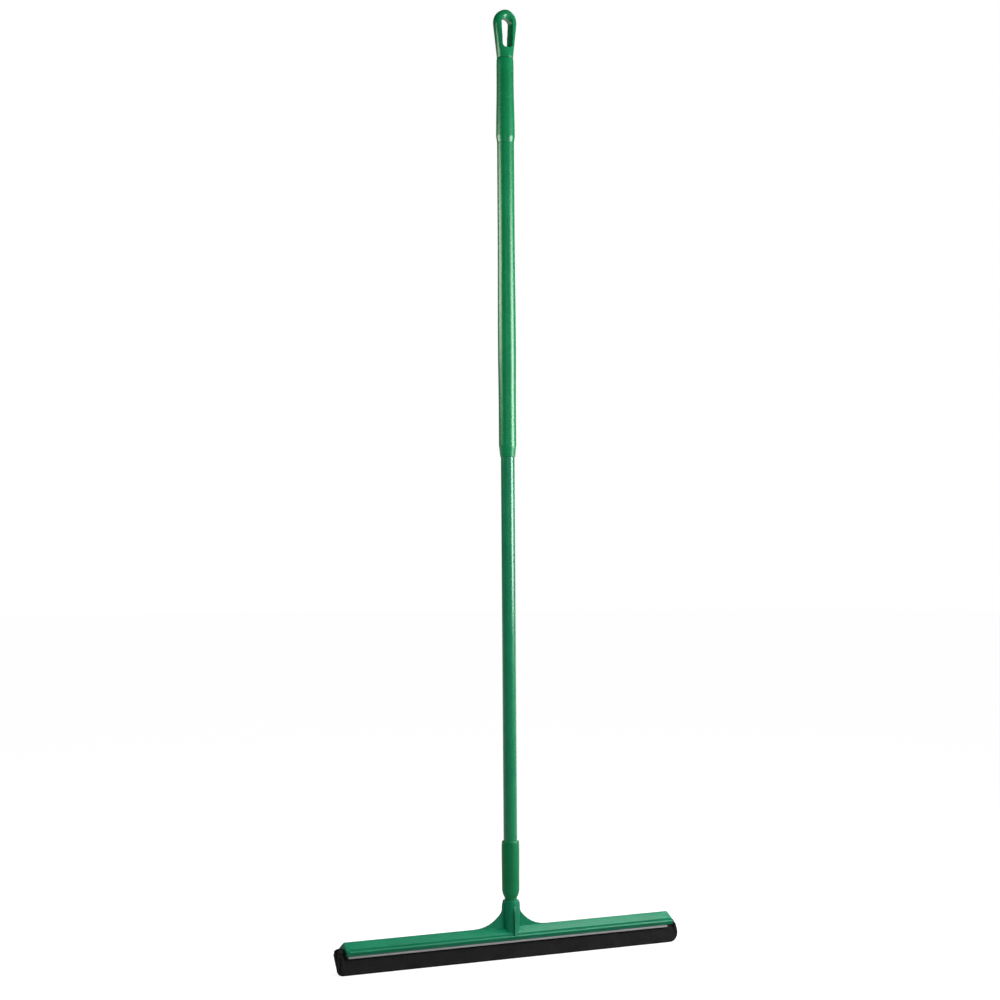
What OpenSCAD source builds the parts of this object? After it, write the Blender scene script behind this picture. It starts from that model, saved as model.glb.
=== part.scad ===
// Floor squeegee with a long screw-in handle.
// Z is up and runs along the handle, X along the blades, -Y is the front.
// The origin lies under the handle's axis, in the plane of the blades' lower edges.

/* [Blades] */
// Length of the two sponge rubber strips
blade_len = 600; // [400:5:900]
// Height of a strip that stands below the cassette
blade_reach = 26.5; // [20:0.5:40]
// Height of a strip that the cassette grips
pocket_h = 13.5; // [13:0.25:15]
// Thickness of a strip where it is gripped
strip_gripped_t = 7.2; // [6:0.1:7.5]
// Thickness of a strip along its lower edge
strip_edge_t = 9; // [7:0.1:11]
// Gap between the two strips
blade_gap = 5; // [4:0.1:6]
// Radius of the strips' corners
blade_corner_r = 8; // [4:0.5:14]
// Distance by which the strips' ends lean over their height
blade_lean = 7.5; // [0:0.5:10]
// Length by which the strips stand out of each end of the holder
blade_overhang = 7.5; // [4:0.5:20]
// Swelling of the free strip ends past the grip
end_swell = 4.3; // [1:0.1:5]

/* [Cassette] */
// Distance from each end of the holder to the cassette
cassette_inset = 6; // [4:0.5:20]
// Height of the cassette's outer lip
lip_h = 3.2; // [3:0.1:7]
// Half width over the lips
lip_half_w = 16.2; // [14:0.1:17]
// Wall over the strips
cassette_t = 1.5; // [1.2:0.1:2]
// Height of one barb in the pocket
barb_pitch = 3; // [2:0.25:4]
// Depth of one barb
barb_depth = 0.5; // [0.2:0.1:0.8]

/* [Holder] */
// Inner width of the channel
channel_w = 25.6; // [25:0.2:28]
// Thickness of the side walls
wall_t = 2.4; // [1.8:0.1:3]
// Thickness of the sloping roof
roof_t = 2.5; // [1.8:0.1:3.5]
// Slope of the roof, in degrees
roof_pitch = 40.5; // [38:0.5:44]
// Rounding of the ridge
ridge_r = 3; // [1:0.25:4]
// Radius of the rolled rim
rim_r = 2.6; // [2:0.1:3.2]
// Distance by which the rim stands out of the wall
rim_proud = 1.9; // [0.5:0.1:2.4]
// Height of the rim's centre over the lower edge of the wall
rim_rise = 8.3; // [7:0.1:9]
// Height of a rail inside the wall
rail_h = 2; // [1.5:0.1:2.5]
// Distance by which a rail stands inwards
rail_w = 1.5; // [1:0.1:1.8]
// Height of the rail over the lower edge of the wall
rail_rise = 1.4; // [1:0.1:2]
// Distance by which the ridge is shorter than the rim at each end
ridge_setback = 2.5; // [0:0.25:6]
// Width of the bevel between the roof and its ends
end_bevel = 1.6; // [0.5:0.1:2]
// Diameter of the catch bosses on the walls
boss_d = 5; // [3:0.25:5]
// Height of the catch bosses off the wall
boss_h = 1.1; // [0.5:0.1:1.8]

/* [Socket] */
// Height of the socket over the ridge
socket_h = 42; // [34:0.5:60]
// Outer radius of the socket
socket_r = 15.5; // [14:0.1:18]
// Outer radius of the socket's mouth
socket_mouth_r = 12.5; // [12:0.1:13.5]
// Height of the rounded shoulder under the mouth
shoulder_h = 8; // [4:0.5:14]
// Depth of the socket's bore
bore_depth = 40; // [30:0.5:41]
// Radius of the side fins' hollow curve
fin_r = 58; // [40:1:80]
// Distance from the axis to each fin's tip
fin_reach = 63; // [48:1:90]
// Thickness of the side fins
fin_t = 6; // [3:0.5:8]
// Thickness of the front and back ribs
rib_t = 6; // [3:0.5:8]
// Distance by which the ribs narrow from the rim up to the socket's shoulder
rib_taper = 1; // [0.2:0.1:1.2]
// Distance from the socket's mouth down to the top of the ribs
rib_drop = 10; // [8:0.5:20]

/* [Thread end] */
// Radius of the screw stud over its thread
stud_r = 10.4; // [9:0.05:11]
// Length of the stud inside the socket
stud_len = 38; // [28:0.5:39]
// Length of stud left bare between the socket and the ferrule
stud_bare = 6; // [3:0.5:10]
// Height of the ferrule over the bare stud
ferrule_h = 87.5; // [60:0.5:120]
// Largest radius of the ferrule
ferrule_r = 14.7; // [13.5:0.1:16]
// Radius of the ferrule's upper rim
ferrule_rim_r = 13.5; // [13:0.1:14]
// Height of the rounding under the upper rim
ferrule_crown_h = 16; // [6:1:30]
// Height of the ferrule's lower taper
ferrule_taper_h = 10; // [6:0.5:20]
// Height of the solid foot under the pole
ferrule_foot = 14; // [10:0.5:30]
// Length of the spigot inside the pole
spigot_len = 34; // [20:1:60]
// Radius of the core through the spigot
spigot_core_r = 6; // [4:0.25:7]

/* [Pole] */
// Outer radius of the pole
pole_r = 11; // [10:0.1:12]
// Wall of the pole
pole_wall = 1.2; // [0.8:0.1:1.6]
// Length of the pole
pole_len = 1327.5; // [1100:0.5:1500]

/* [Sleeve] */
// Length of the lower hand sleeve
sleeve_len = 503; // [300:1:600]
// Radius of the sleeve at its upper end
sleeve_top_r = 13.65; // [13:0.05:14]
// Radius of the sleeve over its lower taper
sleeve_low_r = 14; // [13.5:0.05:14.5]
// Radius of the sleeve's belly
sleeve_belly_r = 14.55; // [14:0.05:16]
// Height of the belly over the sleeve's lower end
belly_rise = 171; // [100:1:200]
// Radius of the sleeve's lower tip
sleeve_tip_r = 12.1; // [11.9:0.05:13]
// Height of the lower taper
sleeve_taper_h = 18; // [8:0.5:40]

/* [Grip] */
// Length of the upper grip
grip_len = 136; // [100:1:180]
// Radius at the grip's lower shoulder
grip_low_r = 15.1; // [14:0.05:17]
// Radius of the grip's straight upper part
grip_top_r = 13.75; // [13:0.05:14.5]
// Height of the chamfer at the lower end
grip_chamfer_h = 8; // [4:0.5:14]
// Length of the straight upper part
grip_straight = 40; // [20:1:60]

/* [Hanging loop] */
// Height of the loop over the grip
loop_h = 76.5; // [60:0.5:100]
// Half width of the loop
loop_r = 18.7; // [16:0.1:22]
// Height of the crown over the loop's widest place
crown_h = 21.5; // [18:0.5:26]
// Thickness of the loop
loop_t = 15; // [10:0.5:18]
// Rounding of the loop's edges
loop_edge_r = 4; // [2:0.25:5]
// Radius of the loop's neck
neck_r = 13.1; // [12.5:0.05:13.7]
// Radius of the eye's upper end
eye_top_r = 9.6; // [7:0.1:11]
// Radius of the eye's lower end
eye_low_r = 7.1; // [4:0.1:8]
// Thickness of the crown over the eye
crown_t = 11.5; // [8:0.5:16]
// Height of the eye
eye_h = 52; // [36:0.5:54]
// Width of the broken edge around the eye
eye_break = 1.4; // [0.5:0.1:2]
// Length of the plug inside the pole
plug_len = 45; // [25:1:80]
// Number of ribs on the plug
plug_ribs = 4; // [2:1:6]

/* [Fits] */
// Clearance between the cassette and the holder
slide_gap = 0.4; // [0.3:0.05:0.5]
// Clearance on the radius of a turning fit
run_gap = 0.06; // [0.03:0.01:0.1]
// Clearance on the radius between fixed tubular pieces
seat_gap = 0.05; // [0.03:0.01:0.1]
// Gap between end faces of pieces that turn against each other
face_gap = 0.3; // [0.2:0.05:0.5]

/* [Hidden] */
$fn = 64;
eps = 0.01;

// Heights of the head
mouth_z = blade_reach;
blade_h = blade_reach + pocket_h;
wall_low_z = mouth_z + lip_h + slide_gap + 0.1;
rim_z = wall_low_z + rim_rise;
rail_z = wall_low_z + rail_rise;

// Widths of the head, from the middle plane
strip_in = blade_gap / 2;
pocket_out = strip_in + strip_gripped_t;
strip_low_in = strip_in + 0.5;
strip_low_out = strip_low_in + strip_edge_t;
channel_half = channel_w / 2;
cassette_half = channel_half - slide_gap;
rail_in = channel_half - rail_w;
wall_out = channel_half + wall_t;
rim_y = wall_out + rim_proud - rim_r;

// The roof's slope runs down to a crease beside the rim
crease = [rim_y - 0.81 * rim_r, rim_z + 0.69 * rim_r];
roof_tan = tan(roof_pitch);
roof_cos = cos(roof_pitch);
roof_apex = crease[1] + crease[0] * roof_tan;
ridge_centre = roof_apex - ridge_r / roof_cos;
ridge_z = ridge_centre + ridge_r;
channel_apex = roof_apex - roof_t / roof_cos;
cassette_apex = channel_apex - (slide_gap + 0.1) / roof_cos;
pocket_apex = cassette_apex - cassette_t / roof_cos;

// Lengths of the head
holder_len = blade_len - 2 * blade_overhang;
cassette_len = holder_len - 2 * cassette_inset;

// Heights of the handle
socket_top = ridge_z + socket_h;
stud_low_z = socket_top - stud_len;
ferrule_low_z = socket_top + stud_bare;
ferrule_top_z = ferrule_low_z + ferrule_h;
pole_seat_z = ferrule_low_z + ferrule_foot;
pole_low_z = pole_seat_z + face_gap;
pole_top_z = pole_low_z + pole_len;
grip_low_z = pole_top_z - grip_len;
sleeve_low_z = grip_low_z - sleeve_len;
pole_bore_r = pole_r - pole_wall;
bore_r = stud_r + run_gap;

// Centres of the loop's and the eye's round ends
loop_centre = pole_top_z + loop_h - crown_h;
eye_top_centre = pole_top_z + loop_h - crown_t - eye_top_r;
eye_low_centre = eye_top_centre + eye_top_r - eye_h + eye_low_r;

green = [0.02, 0.42, 0.22];
satin_green = [0.1, 0.48, 0.3];
coated_green = [0.05, 0.4, 0.22];
grey = [0.55, 0.55, 0.56];
black = [0.09, 0.09, 0.09];

// Points on an arc about c, with n steps from angle a0 to a1
function arc(c, r, a0, a1, n) =
    [for (i = [0:n]) c + r * [cos(a0 + (a1 - a0) * i / n), sin(a0 + (a1 - a0) * i / n)]];

// Points on an arc that leaves the vertical at radius r0, height z0, and leans in to radius r1 over height h
function shoulder(r0, r1, z0, h, n) = let (
        big = (h * h + (r0 - r1) * (r0 - r1)) / (2 * (r0 - r1)))
    arc([r0 - big, z0], big, 0, asin(h / big), n);

// A half outline and its mirror image, as one ring of points
function both_sides(half) =
    concat(half, [for (i = [len(half) - 1:-1:0]) [-half[i][0], half[i][1]]]);

// A section drawn in Y and Z, run along X about the middle
module along_x(length) {
    rotate([90, 0, 90]) linear_extrude(length, center = true) children();
}

// A shape drawn in X and Z, with its thickness along Y
module upright(thickness) {
    rotate([90, 0, 0]) linear_extrude(thickness, center = true) children();
}

module both_ends() {
    children();
    mirror([1, 0, 0]) children();
}

module both_faces() {
    children();
    mirror([0, 1, 0]) children();
}

// ---------- hanging loop ----------

// Rounded disc, drawn out upwards, that gives the loop its crown
module loop_crown() {
    flat = loop_r - loop_edge_r;
    half_t = loop_t / 2 - loop_edge_r;
    translate([0, 0, loop_centre]) scale([1, 1, crown_h / loop_r]) rotate([90, 0, 0])
        rotate_extrude($fn = 72) polygon(concat(
            [[0, -loop_t / 2]],
            arc([flat, -half_t], loop_edge_r, -90, 0, 5),
            arc([flat, half_t], loop_edge_r, 0, 90, 5),
            [[0, loop_t / 2]]));
}

// The eye is a slot that narrows downwards
module eye_outline() {
    lean = asin((eye_top_r - eye_low_r) / (eye_top_centre - eye_low_centre));
    side = [cos(lean), -sin(lean)];
    translate([0, eye_top_centre]) circle(eye_top_r);
    translate([0, eye_low_centre]) circle(eye_low_r);
    polygon(both_sides([[0, eye_top_centre] + eye_top_r * side,
                        [0, eye_low_centre] + eye_low_r * side]));
}

module eye_flare() {
    hull() {
        translate([0, -loop_t / 2 + eye_break, eye_top_centre]) rotate([90, 0, 0])
            cylinder(r1 = eye_top_r, r2 = eye_top_r + 2 * eye_break, h = 2 * eye_break, $fn = 48);
        translate([0, -loop_t / 2 + eye_break, eye_low_centre]) rotate([90, 0, 0])
            cylinder(r1 = eye_low_r, r2 = eye_low_r + 2 * eye_break, h = 2 * eye_break, $fn = 48);
    }
}

module loop_plug() {
    body_r = pole_bore_r - 1.4;
    rib_r = pole_bore_r - seat_gap;
    step = (plug_len - 6) / plug_ribs;
    low = pole_top_z - plug_len;
    rotate_extrude() polygon(concat(
        [[0, pole_top_z + 2], [0, low], [body_r - 1.5, low], [body_r, low + 1.5]],
        [for (i = [0:plug_ribs - 1], p = [[body_r, 3], [rib_r, 4.4], [rib_r, 5.4], [body_r, 5.6]])
            [p[0], low + i * step + p[1]]],
        [[body_r, pole_top_z - 2], [rib_r, pole_top_z - 2], [rib_r, pole_top_z + 2]]));
}

module hang_loop() {
    color(green) {
        difference() {
            hull() {
                loop_crown();
                translate([0, 0, pole_top_z]) cylinder(r = neck_r, h = 1.5);
            }
            upright(4 * loop_t) eye_outline();
            both_faces() eye_flare();
        }
        loop_plug();
    }
}

// ---------- grips on the pole ----------

// Turned outline of the upper grip, from its lower end up
function grip_outline() = let (
        taper_low = grip_low_z + grip_chamfer_h + 4,
        taper_high = pole_top_z - grip_straight)
    concat(
        [[sleeve_top_r + 0.1, grip_low_z], [grip_low_r - 0.3, grip_low_z + grip_chamfer_h - 0.8],
         [grip_low_r, grip_low_z + grip_chamfer_h + 0.8]],
        [for (i = [0:10]) let (t = i / 10, ease = t - 0.12 * sin(360 * t) / 2)
            [grip_low_r + (grip_top_r - grip_low_r) * ease, taper_low + (taper_high - taper_low) * t]],
        [[grip_top_r, pole_top_z - 12], [grip_top_r - 0.2, pole_top_z - 5],
         [neck_r + 0.1, pole_top_z - 0.6], [neck_r - 0.4, pole_top_z]]);

module hand_grip() {
    bore = pole_r + seat_gap;
    color(green) rotate_extrude() polygon(concat(
        [[bore, grip_low_z]], grip_outline(), [[bore, pole_top_z]]));
}

// Radius of the sleeve at a height over its lower end
function sleeve_radius(h) = let (
        base = sleeve_low_r + (sleeve_top_r - sleeve_low_r) * h / sleeve_len,
        spread = h < belly_rise ? belly_rise * 0.55 : belly_rise * 1.1,
        off = min(1, abs(h - belly_rise) / spread))
    base + (sleeve_belly_r - base) * (1 + cos(180 * off)) / 2;

module grip_sleeve() {
    bore = pole_r + seat_gap;
    steps = 28;
    rise = sleeve_len - sleeve_taper_h;
    color(green) rotate_extrude() polygon(concat(
        [[bore, sleeve_low_z], [sleeve_tip_r - 0.4, sleeve_low_z], [sleeve_tip_r, sleeve_low_z + 0.4]],
        [for (i = [0:steps]) let (h = sleeve_taper_h + rise * i / steps)
            [sleeve_radius(h), sleeve_low_z + h]],
        [[bore, grip_low_z]]));
}

module pole_tube() {
    color(coated_green) translate([0, 0, pole_low_z]) difference() {
        cylinder(r = pole_r, h = pole_len);
        translate([0, 0, -1]) cylinder(r = pole_bore_r, h = pole_len + 2);
    }
}

// ---------- thread end ----------

module thread_end() {
    taper_top = ferrule_low_z + ferrule_taper_h;
    cup_r = pole_r + run_gap;
    spigot_r = pole_bore_r - run_gap;
    spigot_top = pole_seat_z + spigot_len;
    color(satin_green) rotate_extrude() polygon(concat(
        [[0, stud_low_z], [stud_r - 1.2, stud_low_z], [stud_r, stud_low_z + 1.2],
         [stud_r, ferrule_low_z], [stud_r + 0.7, ferrule_low_z + 0.3],
         [ferrule_r - 1.7, ferrule_low_z + ferrule_taper_h / 2],
         [ferrule_r - 0.6, taper_top - 1.2], [ferrule_r - 0.4, taper_top]],
        shoulder(ferrule_r, ferrule_rim_r, ferrule_top_z - ferrule_crown_h, ferrule_crown_h - 0.6, 6),
        [[ferrule_rim_r - 0.6, ferrule_top_z],
         [cup_r, ferrule_top_z], [cup_r, pole_seat_z], [spigot_r, pole_seat_z],
         [spigot_r, spigot_top - 3], [spigot_r - 1.2, spigot_top],
         [spigot_core_r, spigot_top], [spigot_core_r, pole_seat_z - 8], [0, pole_seat_z - 8]]));
}

// ---------- blade holder ----------

module holder_section() {
    slope_top = [ridge_r * sin(roof_pitch), ridge_centre + ridge_r * roof_cos];
    polygon(both_sides([slope_top, crease, [wall_out, rim_z], [wall_out, wall_low_z]]));
    translate([0, ridge_centre]) circle(ridge_r);
    for (side = [-1, 1]) translate([side * rim_y, rim_z]) circle(rim_r, $fn = 48);
}

module channel_section() {
    polygon(both_sides([[0, channel_apex], [channel_half, channel_apex - channel_half * roof_tan],
                        [channel_half, wall_low_z - 1]]));
}

module rail_section() {
    for (side = [0, 1]) mirror([side, 0]) translate([rail_in, rail_z])
        square([rail_w + eps, rail_h]);
}

// Rounded socket that the stud screws into
module socket_body() {
    low = rim_z;
    edge_z = socket_top - shoulder_h;
    rotate_extrude() polygon(concat(
        [[0, low], [socket_r, low], [socket_r, edge_z - 10]],
        shoulder(socket_r - 0.3, socket_mouth_r, edge_z, shoulder_h, 8),
        [[0, socket_top]]));
}

// Side fin with a hollow upper edge, tangent to the ridge
module fin_outline() {
    run = fin_reach - socket_r;
    rise = fin_r - sqrt(fin_r * fin_r - run * run);
    difference() {
        translate([0, ridge_centre]) square([fin_reach, ridge_r + rise]);
        translate([fin_reach, ridge_z + fin_r]) circle(fin_r, $fn = 128);
    }
}

// Front and back ribs, which stand on the rims and lean in to the socket
module rib_outline() {
    top = socket_top - rib_drop;
    foot = rim_y + rim_r;
    polygon(both_sides([[0, top], [socket_r - 0.3, top], [foot - rib_taper, top - 5], [foot, rim_z]]));
}

// Cuts each end of the roof back towards the ridge
module end_slant() {
    lean = atan(ridge_setback / (ridge_z - rim_z));
    translate([holder_len / 2, -30, rim_z]) rotate([0, -lean, 0]) cube([30, 60, 60]);
}

// Bevels the slanted ends where they meet the roof's two slopes
module end_bevels() {
    run = crease[0] / roof_cos;
    both_faces() translate([holder_len / 2 - end_bevel, crease[0], crease[1]])
        rotate([-roof_pitch, 0, 0]) rotate([0, 0, -atan(ridge_setback / run)]) rotate([0, 45, 0])
            translate([-40, -40, 0]) cube(80);
}

module catch_boss() {
    translate([-cassette_len / 2, -wall_out + 0.5, wall_low_z + 2.6]) rotate([90, 0, 0])
        cylinder(d = boss_d, h = boss_h + 0.5);
}

// Stop block that the cassette's end comes up against
module end_stop() {
    inner = rail_in - 0.4;
    low = rail_z + rail_h - eps;
    high = channel_apex - channel_half * roof_tan + 0.5;
    translate([-holder_len / 2, inner, low])
        cube([cassette_inset - slide_gap, channel_half + 0.5 - inner, high - low]);
}

module blade_holder() {
    color(satin_green) {
        difference() {
            union() {
                along_x(holder_len) holder_section();
                socket_body();
                both_ends() upright(fin_t) fin_outline();
                along_x(rib_t) rib_outline();
                both_faces() catch_boss();
            }
            along_x(holder_len + 2) channel_section();
            both_ends() {
                end_slant();
                end_bevels();
            }
            translate([0, 0, socket_top - bore_depth]) cylinder(r = bore_r, h = bore_depth + 1);
            translate([0, 0, socket_top - 0.8]) cylinder(r1 = bore_r, r2 = bore_r + 1, h = 1);
        }
        along_x(holder_len) rail_section();
        both_faces() end_stop();
    }
}

// ---------- blade cassette ----------

module barbs() {
    for (i = [0:2]) let (z = mouth_z + 1.2 + i * barb_pitch)
        polygon([[pocket_out + eps, z], [pocket_out - barb_depth, z + 0.4],
                 [pocket_out + eps, z + barb_pitch - 0.6]]);
}

// Pocket for the back strip, with barbs along its outer wall
module pocket_section() {
    top = mouth_z + pocket_h;
    difference() {
        polygon([[strip_in, mouth_z], [strip_in, top], [(pocket_apex - top) / roof_tan, top],
                 [pocket_out, pocket_apex - pocket_out * roof_tan], [pocket_out, mouth_z]]);
        barbs();
    }
}

module cassette_section() {
    top = mouth_z + pocket_h + cassette_t;
    groove_in = rail_in - slide_gap;
    groove_low = rail_z - slide_gap;
    groove_high = rail_z + rail_h + slide_gap;
    difference() {
        polygon(both_sides([
            [(cassette_apex - top) / roof_tan, top],
            [cassette_half, cassette_apex - cassette_half * roof_tan],
            [cassette_half, groove_high], [groove_in, groove_high],
            [groove_in, groove_low], [cassette_half, groove_low],
            [cassette_half, mouth_z + lip_h], [lip_half_w - 0.6, mouth_z + lip_h],
            [lip_half_w, mouth_z + lip_h - 0.6], [lip_half_w, mouth_z + 0.6],
            [lip_half_w - 0.6, mouth_z]]));
        pocket_section();
        mirror([1, 0]) pocket_section();
    }
}

module cassette() {
    color(grey) along_x(cassette_len) cassette_section();
}

// ---------- blades ----------

// Free part of the back strip, which swells out below the cassette's grip
module free_section() {
    swell_h = 6;
    polygon(concat(
        [[strip_low_in, 0], [strip_low_out, 0]],
        [for (i = [0:6]) let (a = 15 * i)
            [pocket_out + (strip_low_out - pocket_out) * cos(a), mouth_z - swell_h * (1 - sin(a))]],
        [[strip_in, mouth_z]]));
}

// End of the back strip, past the cassette, where nothing grips it
module end_section() {
    out = pocket_out + end_swell;
    inner = rail_in - 0.9;
    polygon([[strip_low_in, 0], [strip_low_out, 0], [strip_low_out + 0.4, mouth_z * 0.6],
             [out - 0.3, mouth_z - 2], [out, mouth_z + 1.4], [out - 0.4, wall_low_z - 0.4],
             [inner, wall_low_z - 0.3], [inner, rail_z + rail_h], [pocket_out, mouth_z + 9.6],
             [pocket_out - 3.5, blade_h - 0.6], [strip_in, blade_h]]);
}

// Front view of a strip: round corners, and ends that lean the same way
module strip_outline() {
    r = blade_corner_r;
    x = blade_len / 2 - r;
    upright_ends = concat(
        arc([-x, r], r, 180, 270, 8), arc([x, r], r, 270, 360, 8),
        arc([x, blade_h - r], r, 0, 90, 8), arc([-x, blade_h - r], r, 90, 180, 8));
    polygon([for (p = upright_ends) [p[0] + blade_lean * (0.5 - p[1] / blade_h), p[1]]]);
}

module back_strip() {
    gripped_len = holder_len + 0.6;
    end_len = blade_overhang + blade_lean / 2;
    color(black) intersection() {
        union() {
            along_x(gripped_len) {
                pocket_section();
                free_section();
            }
            both_ends() translate([(gripped_len + end_len) / 2, 0, 0]) along_x(end_len) end_section();
        }
        upright(80) strip_outline();
    }
}

module front_blade() { mirror([0, 1, 0]) back_strip(); }

module back_blade() { back_strip(); }

hang_loop();
hand_grip();
grip_sleeve();
pole_tube();
thread_end();
blade_holder();
cassette();
front_blade();
back_blade();
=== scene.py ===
import math
import bpy
from mathutils import Matrix, Vector


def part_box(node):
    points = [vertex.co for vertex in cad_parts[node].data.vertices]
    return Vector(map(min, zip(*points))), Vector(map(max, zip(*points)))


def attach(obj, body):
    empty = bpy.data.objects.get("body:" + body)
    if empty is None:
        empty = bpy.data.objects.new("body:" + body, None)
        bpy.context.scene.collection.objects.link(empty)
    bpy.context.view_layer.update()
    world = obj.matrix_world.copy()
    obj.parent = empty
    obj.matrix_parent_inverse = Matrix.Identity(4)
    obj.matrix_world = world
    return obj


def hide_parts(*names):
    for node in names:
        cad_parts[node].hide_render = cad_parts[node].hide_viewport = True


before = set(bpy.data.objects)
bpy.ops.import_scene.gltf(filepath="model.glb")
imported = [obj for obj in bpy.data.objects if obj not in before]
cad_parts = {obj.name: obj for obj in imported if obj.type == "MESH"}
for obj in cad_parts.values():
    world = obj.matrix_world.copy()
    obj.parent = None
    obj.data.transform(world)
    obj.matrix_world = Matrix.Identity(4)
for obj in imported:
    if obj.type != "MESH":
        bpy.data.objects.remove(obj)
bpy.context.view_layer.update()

# ---- Sponge rubber strips ----
# Two strips of black closed-cell sponge rubber stand side by side and push the water.
# They are cut from sheet and pressed into the cassette, whose barbs hold them; past its
# ends nothing squeezes them, so they swell out there.

mm = 0.001


def pick(kind, test):
    """Selects the vertices, edges or faces of the piece being edited whose middle passes the test."""
    bpy.ops.object.mode_set(mode="OBJECT")
    mesh = bpy.context.object.data
    for parts in (mesh.vertices, mesh.edges, mesh.polygons):
        parts.foreach_set("select", [False] * len(parts))
    if kind == "VERT":
        for vertex in mesh.vertices:
            vertex.select = test(vertex.co)
    elif kind == "EDGE":
        for edge in mesh.edges:
            a, b = (mesh.vertices[i].co for i in edge.vertices)
            edge.select = test((a + b) / 2)
    else:
        for face in mesh.polygons:
            face.select = test(face.center)
    bpy.context.tool_settings.mesh_select_mode = [kind == k for k in ("VERT", "EDGE", "FACE")]
    bpy.ops.object.mode_set(mode="EDIT")


def arc(centre, radius, start, end, steps):
    """Points along a round stretch of an outline, from one angle to another, in degrees."""
    angles = [math.radians(start + (end - start) * i / steps) for i in range(steps + 1)]
    return [(centre[0] + radius * math.cos(a), centre[1] + radius * math.sin(a)) for a in angles]


def draw_outline(name, points):
    """Starts a piece as one vertex and pulls it from point to point; stays in edit mode."""
    bpy.ops.object.select_all(action="DESELECT")
    bpy.ops.mesh.primitive_plane_add(size=mm)
    piece = bpy.context.object
    piece.name = piece.data.name = name
    bpy.ops.object.mode_set(mode="EDIT")
    bpy.ops.mesh.select_mode(type="VERT")
    bpy.ops.mesh.merge(type="CENTER")
    bpy.ops.transform.translate(value=points[0])
    for a, b in zip(points, points[1:]):
        bpy.ops.mesh.extrude_region_move(TRANSFORM_OT_translate={"value": b - a})
    return piece


def pull_section(name, section, start, lengths, axis="X"):
    """Fills a closed section and pulls it along X (drawn in Y, Z) or along Y (drawn in X, Z)."""
    if axis == "X":
        points = [Vector((start, y, z)) for y, z in section]
        way = Vector((1, 0, 0))
    else:
        points = [Vector((x, start, z)) for x, z in section]
        way = Vector((0, 1, 0))
    piece = draw_outline(name, points)
    bpy.ops.mesh.select_all(action="SELECT")
    bpy.ops.mesh.edge_face_add()
    for length in lengths:
        bpy.ops.mesh.extrude_region_move(TRANSFORM_OT_translate={"value": way * length})
    return piece


def close_up():
    """Merges doubles, turns every face outwards and goes back to object mode."""
    bpy.ops.mesh.select_all(action="SELECT")
    bpy.ops.mesh.remove_doubles(threshold=0.005 * mm)
    bpy.ops.mesh.normals_make_consistent(inside=False)
    bpy.ops.object.mode_set(mode="OBJECT")


def finish_with(piece, kind, **settings):
    """Adds one modifier to a piece and applies it."""
    modifier = piece.modifiers.new(kind.title(), kind)
    for key, value in settings.items():
        setattr(modifier, key, value)
    bpy.context.view_layer.objects.active = piece
    bpy.ops.object.modifier_apply(modifier=modifier.name)


def smooth_by_angle(piece, degrees=35):
    """Shades a piece smooth, apart from edges that turn by more than this angle."""
    bpy.ops.object.select_all(action="DESELECT")
    piece.select_set(True)
    bpy.context.view_layer.objects.active = piece
    bpy.ops.object.shade_smooth_by_angle(angle=math.radians(degrees))


def ease(value, start, end):
    """0 before start, 1 after end and a soft step between them."""
    t = min(1, max(0, (value - start) / (end - start)))
    return t * t * (3 - 2 * t)


strip_low, strip_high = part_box("back_blade")
cassette_low, cassette_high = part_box("cassette")
mouth_z = cassette_low.z
strip_h = strip_high.z
strip_inner_y = strip_low.y
strip_top_y = strip_inner_y + 3.3 * mm
gripped_y = strip_inner_y + 7.2 * mm
edge_y = strip_inner_y + 9.5 * mm
strip_half = cassette_high.x + 13.5 * mm
# Where a strip ends, at its top and at its lower edge; 1 is the back strip, -1 the front one.
left_ends = {1: (-305.2 * mm, -298 * mm), -1: (-304 * mm, -301.7 * mm)}
right_end = (297.3 * mm, 309 * mm)


def rounding(distance, radius):
    """How far a round corner of this radius falls back at a distance from its end."""
    return radius - math.sqrt(radius ** 2 - min(radius, max(0, radius - distance)) ** 2)


def sponge_face_y(x, z):
    """How far the strip's outer face stands from the middle plane."""
    swell_h = 6 * mm
    under = mouth_z - swell_h
    roof = strip_top_y + (strip_h - z) * 1.15
    swell = math.sqrt(max(0, 1 - max(0, (z - under) / swell_h) ** 2)) if z < mouth_z else 0
    gripped = min(gripped_y + (edge_y - gripped_y) * swell, roof)
    if z < 31 * mm:
        free = edge_y + 1.8 * mm * ease(z, 6 * mm, mouth_z)
    else:
        free = gripped + 0.5 * mm
    past = ease(abs(x), cassette_high.x + 6 * mm, cassette_high.x + 8.5 * mm)
    face_y = gripped + (free - gripped) * past
    return face_y - rounding(strip_half - abs(x), 2.5 * mm) - rounding(z, 1.3 * mm)


def sponge_end_x(x, z, side):
    """Moves a place along the strip so that its ends get round corners and lean over."""
    reach = 24 * mm
    if z > strip_h / 2:
        radius = 7 * mm
    else:
        radius = 20 * mm if x > 0 else 3.2 * mm
    cut = rounding(min(z, strip_h - z), radius)
    if abs(x) > strip_half - reach:
        kept = 1 - cut / reach
        x = math.copysign(strip_half - reach + (abs(x) - strip_half + reach) * kept, x)
    left, right = (top + (low - top) * (1 - z / strip_h) for top, low in (left_ends[side], right_end))
    return left + (right - left) * (x / strip_half + 1) / 2


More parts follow.
